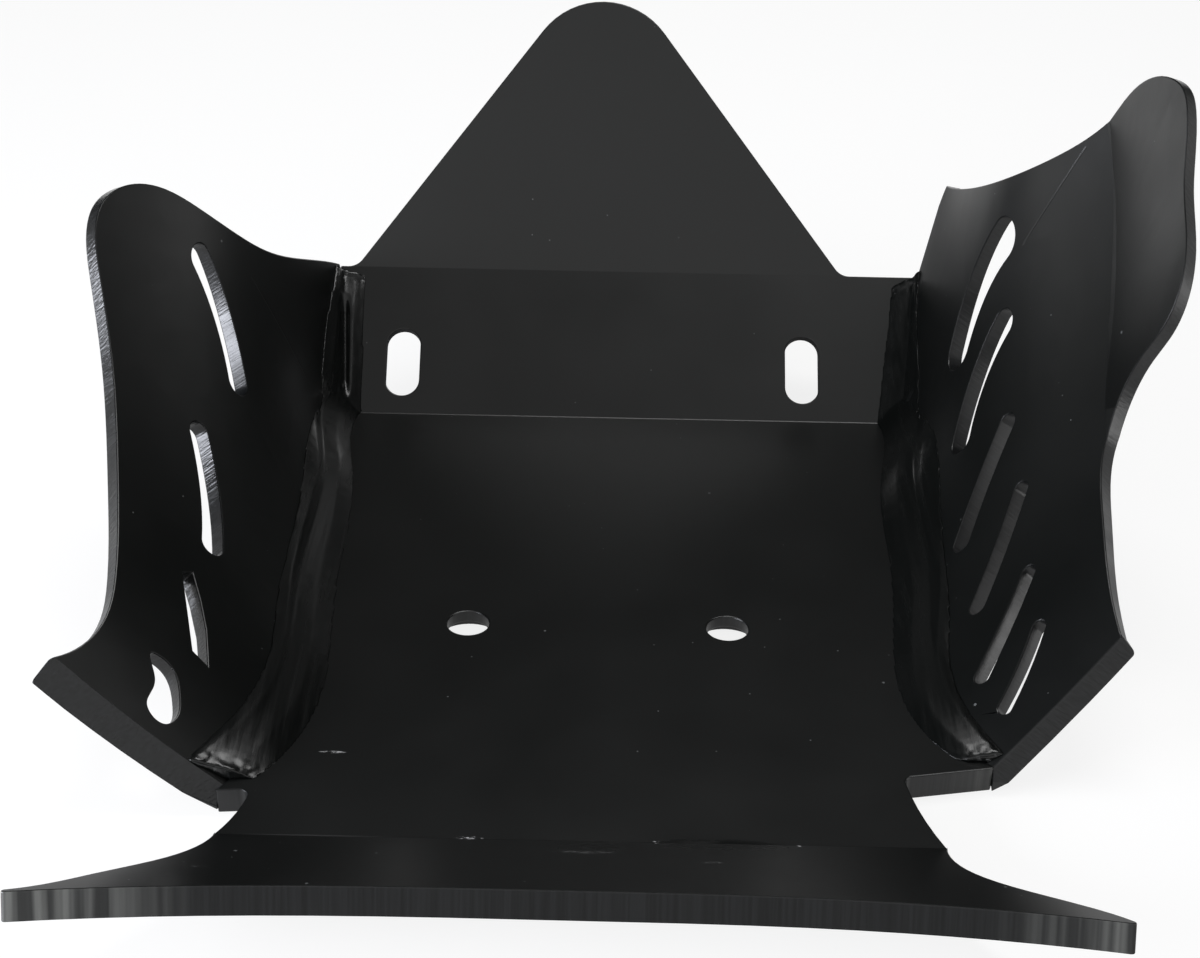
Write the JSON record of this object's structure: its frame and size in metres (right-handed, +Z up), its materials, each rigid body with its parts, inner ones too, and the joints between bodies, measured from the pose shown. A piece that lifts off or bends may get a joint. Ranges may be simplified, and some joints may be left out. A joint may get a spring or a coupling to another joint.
{
  "type": "motorcycle skid plate",
  "caption": "Folded plastic skid plate with an upturned nose and flared tail, welded on twisted side panels with vent slits, that guards the underside of a motorcycle's frame and engine.",
  "frame": {"origin": "on the flat belly, midway between the two floor bolt holes", "axes": "+X to the part's right seen from behind, +Y forward to the nose, +Z up into the motorcycle"},
  "size_m": [0.4078, 0.4662, 0.1961],
  "materials": {
    "black_sheet": "satin black thick thermoplastic sheet with routed edges",
    "weld": "glossier black plastic weld bead"
  },
  "bodies": {
    "root": {"main_plate": "black_sheet", "left_side_panel": "black_sheet", "right_side_panel": "black_sheet", "left_weld_bead": "weld", "right_weld_bead": "weld"}
  },
  "joints": []
}
